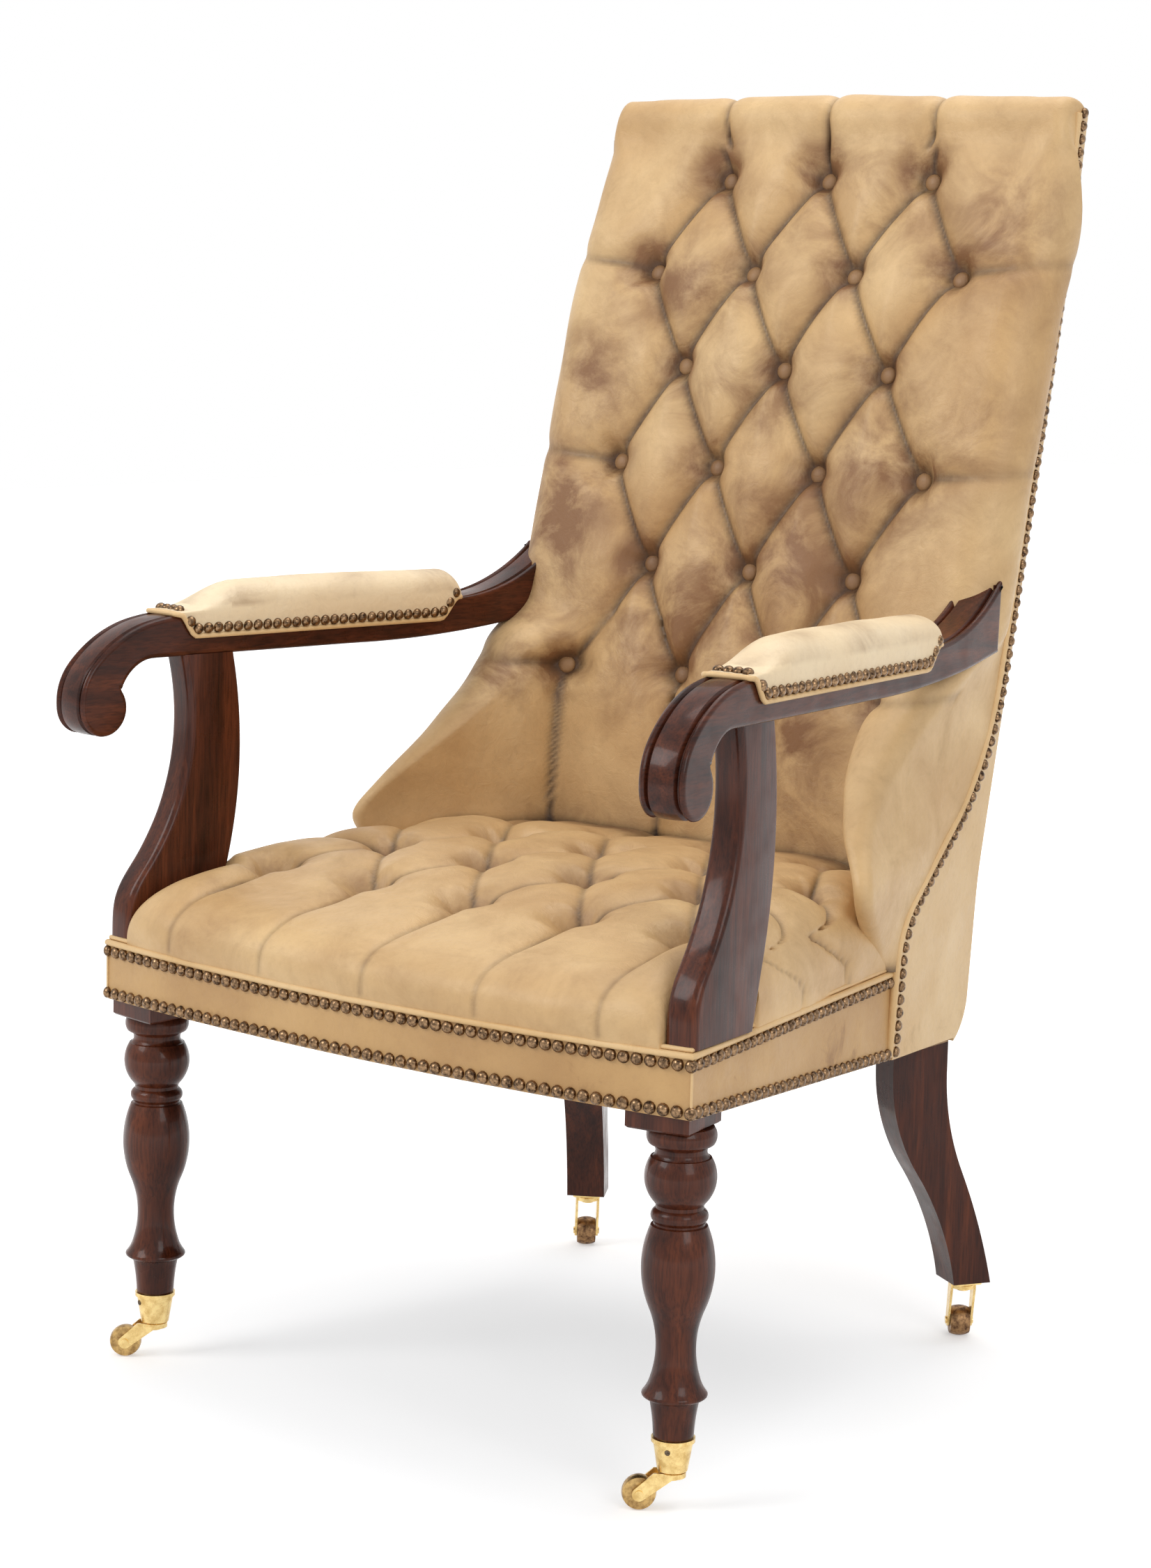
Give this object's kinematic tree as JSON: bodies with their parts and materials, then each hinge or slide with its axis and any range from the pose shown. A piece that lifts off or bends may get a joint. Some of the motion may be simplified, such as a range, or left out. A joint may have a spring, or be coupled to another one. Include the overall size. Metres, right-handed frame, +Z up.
{
  "type": "library armchair",
  "caption": "Buttoned leather library armchair with a reclined back, padded scroll arms, turned front legs, sabre rear legs and castors that swivel and roll.",
  "frame": {"origin": "on the floor under the middle of the chair", "axes": "+Z up, the chair faces -Y, +X to the right of someone looking at its front"},
  "size_m": [0.6784, 0.7032, 1.1326],
  "materials": {
    "mahogany": "polished",
    "frame_wood": "bare, sawn",
    "tan_leather": "worn and stained",
    "button_leather": "worn",
    "piping_leather": "worn",
    "webbing": "woven",
    "dust_cloth": "woven",
    "brass": "dull",
    "roller_bronze": "worn"
  },
  "bodies": {
    "chair": {"arm_left": "mahogany", "arm_pad_left": "tan_leather", "arm_pad_right": "tan_leather", "arm_post_left": "mahogany", "arm_post_right": "mahogany", "arm_right": "mahogany", "back_buttons": "button_leather", "back_cushion": "tan_leather", "back_lower_rail": "frame_wood", "back_stile_left": "frame_wood", "back_stile_right": "frame_wood", "back_top_rail": "frame_wood", "back_wing_left": "tan_leather", "back_wing_right": "tan_leather", "corner_braces": "frame_wood", "dust_cover": "dust_cloth", "front_castor_cup_left": "brass", "front_castor_cup_right": "brass", "front_castor_stem_left": "brass", "front_castor_stem_right": "brass", "front_leg_left": "mahogany", "front_leg_right": "mahogany", "front_rail": "frame_wood", "outside_back": "tan_leather", "rail_leather": "tan_leather", "rear_castor_plate_left": "brass", "rear_castor_plate_right": "brass", "rear_leg_left": "mahogany", "rear_leg_right": "mahogany", "rear_rail": "frame_wood", "seat_buttons": "button_leather", "seat_cushion": "tan_leather", "seat_lip": "piping_leather", "seat_webbing": "webbing", "side_panel_left": "tan_leather", "side_panel_right": "tan_leather", "side_piping_left": "piping_leather", "side_piping_right": "piping_leather", "side_rail_left": "frame_wood", "side_rail_right": "frame_wood", "wing_board_left": "frame_wood", "wing_board_right": "frame_wood"},
    "front_right_castor": {"front_castor_horn_right": "brass", "front_castor_axle_right": "brass"},
    "front_right_wheel": {"front_castor_wheel_right": "brass"},
    "rear_right_castor": {"rear_castor_fork_right": "brass", "rear_castor_axle_right": "brass"},
    "rear_right_wheel": {"rear_castor_roller_right": "roller_bronze"},
    "front_left_castor": {"front_castor_horn_left": "brass", "front_castor_axle_left": "brass"},
    "front_left_wheel": {"front_castor_wheel_left": "brass"},
    "rear_left_castor": {"rear_castor_fork_left": "brass", "rear_castor_axle_left": "brass"},
    "rear_left_wheel": {"rear_castor_roller_left": "roller_bronze"}
  },
  "joints": [
    {"name": "front_right_swivel", "type": "hinge", "parent": "chair", "child": "front_right_castor", "pos_m": [0.2895, -0.2695, 0.03], "axis": [0, 0, 1], "continuous": true},
    {"name": "front_right_roll", "type": "hinge", "parent": "front_right_castor", "child": "front_right_wheel", "pos_m": [0.26901, -0.28551, 0.014], "axis": [-0.6157, 0.788, 0], "continuous": true},
    {"name": "rear_right_swivel", "type": "hinge", "parent": "chair", "child": "rear_right_castor", "pos_m": [0.2211, 0.26618, 0.03], "axis": [0, 0, 1], "continuous": true},
    {"name": "rear_right_roll", "type": "hinge", "parent": "rear_right_castor", "child": "rear_right_wheel", "pos_m": [0.21126, 0.2775, 0.014], "axis": [0.7547, 0.6561, 0], "continuous": true},
    {"name": "front_left_swivel", "type": "hinge", "parent": "chair", "child": "front_left_castor", "pos_m": [-0.2895, -0.2695, 0.03], "axis": [0, 0, 1], "continuous": true},
    {"name": "front_left_roll", "type": "hinge", "parent": "front_left_castor", "child": "front_left_wheel", "pos_m": [-0.30999, -0.28551, 0.014], "axis": [-0.6157, 0.788, 0], "continuous": true},
    {"name": "rear_left_swivel", "type": "hinge", "parent": "chair", "child": "rear_left_castor", "pos_m": [-0.2211, 0.26618, 0.03], "axis": [0, 0, 1], "continuous": true},
    {"name": "rear_left_roll", "type": "hinge", "parent": "rear_left_castor", "child": "rear_left_wheel", "pos_m": [-0.23094, 0.2775, 0.014], "axis": [0.7547, 0.6561, 0], "continuous": true}
  ]
}
